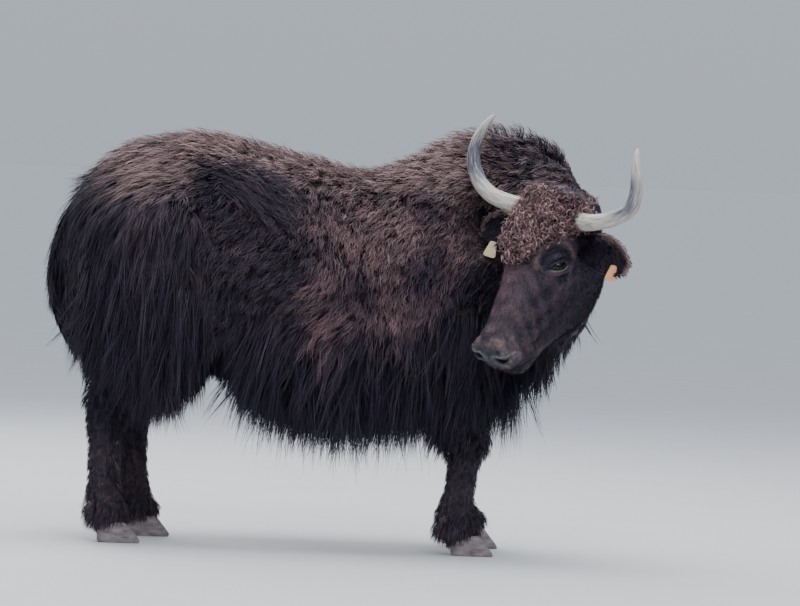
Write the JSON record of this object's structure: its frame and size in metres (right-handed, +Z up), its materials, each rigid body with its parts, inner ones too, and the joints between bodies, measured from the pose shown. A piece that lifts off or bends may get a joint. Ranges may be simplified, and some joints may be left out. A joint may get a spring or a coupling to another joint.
{
  "type": "domestic yak",
  "caption": "Life-size still model of a standing domestic yak with long skirted coat, upswept horns and head turned to its right.",
  "frame": {"origin": "on the floor, at the middle of the animal's box", "axes": "+X from rump to chest, +Y to the animal's left, +Z up"},
  "size_m": [1.9108, 1.0432, 1.4236],
  "materials": {
    "body_coat": "dense woolly reddish-brown hair, paler at the tips along the back",
    "long_coat": "long blue-black hair with brown tips",
    "face_coat": "short dark hair, reddish curls on the forehead",
    "leg_coat": "short shaggy dark hair",
    "horn": "smooth ivory and grey keratin",
    "hoof": "dull grey-brown keratin",
    "eye": "wet gloss",
    "tag_left": "flexible plastic, peach orange, blank",
    "tag_right": "flexible plastic, pale yellow, blank"
  },
  "bodies": {
    "root": {"eye_left": "eye", "horn_left": "horn", "tag_left": "tag_left", "ear_left": "face_coat", "eye_right": "eye", "horn_right": "horn", "tag_right": "tag_right", "ear_right": "face_coat", "hoof_foreleg_left_inner": "hoof", "dewclaw_foreleg_left_inner": "hoof", "hoof_foreleg_left_outer": "hoof", "dewclaw_foreleg_left_outer": "hoof", "foreleg_left_lower": "leg_coat", "foreleg_left_upper": "long_coat", "hoof_foreleg_right_inner": "hoof", "dewclaw_foreleg_right_inner": "hoof", "hoof_foreleg_right_outer": "hoof", "dewclaw_foreleg_right_outer": "hoof", "foreleg_right_lower": "leg_coat", "foreleg_right_upper": "long_coat", "hoof_hindleg_left_inner": "hoof", "dewclaw_hindleg_left_inner": "hoof", "hoof_hindleg_left_outer": "hoof", "dewclaw_hindleg_left_outer": "hoof", "hindleg_left_lower": "leg_coat", "hindleg_left_upper": "long_coat", "hoof_hindleg_right_inner": "hoof", "dewclaw_hindleg_right_inner": "hoof", "hoof_hindleg_right_outer": "hoof", "dewclaw_hindleg_right_outer": "hoof", "hindleg_right_lower": "leg_coat", "hindleg_right_upper": "long_coat", "head": "face_coat", "neck": "long_coat", "torso": "body_coat", "tail": "long_coat"}
  },
  "joints": []
}
